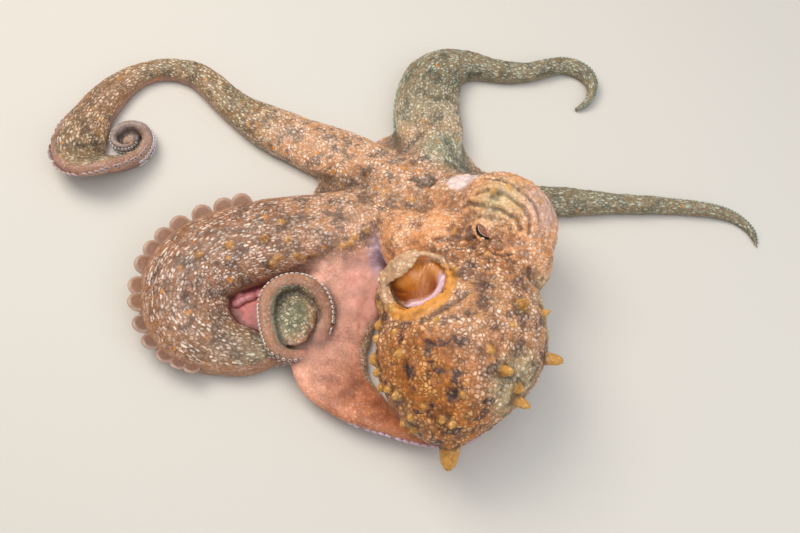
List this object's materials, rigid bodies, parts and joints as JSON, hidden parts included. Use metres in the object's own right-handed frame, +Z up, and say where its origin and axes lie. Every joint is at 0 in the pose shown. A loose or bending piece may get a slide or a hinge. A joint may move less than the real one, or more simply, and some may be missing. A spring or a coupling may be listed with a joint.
{
  "type": "common octopus model",
  "caption": "Still, life-size model of a common octopus at rest: arms spread and coiled on the floor, head raised, rounded mantle leaning back with its gill opening showing.",
  "frame": {"origin": "centre of the bounding box at floor level, under the spread arms", "axes": "+X to the animal's right, +Y ahead of it, away from the mantle, and +Z up"},
  "size_m": [0.605, 0.4048, 0.1055],
  "materials": {
    "mantle_skin": "moist orange-brown skin with cream net markings, dark blotches and raised skin cones",
    "head_skin": "moist cream and orange skin with orange spots",
    "left_arm_skin": "moist brown skin with pale dashes along the arm",
    "right_arm_skin": "moist teal skin with pale dashes along the arm",
    "web_skin": "smooth moist pink web skin",
    "funnel_skin": "wet smooth yellow-orange lining",
    "eye": "wet glossy eye with a slit pupil"
  },
  "bodies": {
    "root": {"eye_left": "eye", "eye_right": "eye", "head": "head_skin", "mantle": "mantle_skin", "funnel": "funnel_skin", "crown": "head_skin", "arm_left_1_base": "left_arm_skin", "arm_left_1_middle": "left_arm_skin", "arm_left_1_end": "left_arm_skin", "arm_left_2_base": "left_arm_skin", "arm_left_2_middle": "left_arm_skin", "arm_left_2_end": "left_arm_skin", "arm_left_3_base": "web_skin", "arm_left_3_middle": "web_skin", "arm_left_3_end": "web_skin", "arm_left_4_base": "left_arm_skin", "arm_left_4_middle": "left_arm_skin", "arm_left_4_end": "left_arm_skin", "arm_right_4_base": "right_arm_skin", "arm_right_4_middle": "right_arm_skin", "arm_right_4_end": "right_arm_skin", "arm_right_3_base": "right_arm_skin", "arm_right_3_middle": "right_arm_skin", "arm_right_3_end": "right_arm_skin", "arm_right_2_base": "right_arm_skin", "arm_right_2_middle": "right_arm_skin", "arm_right_2_end": "right_arm_skin", "arm_right_1_base": "right_arm_skin", "arm_right_1_middle": "right_arm_skin", "arm_right_1_end": "right_arm_skin"}
  },
  "joints": []
}
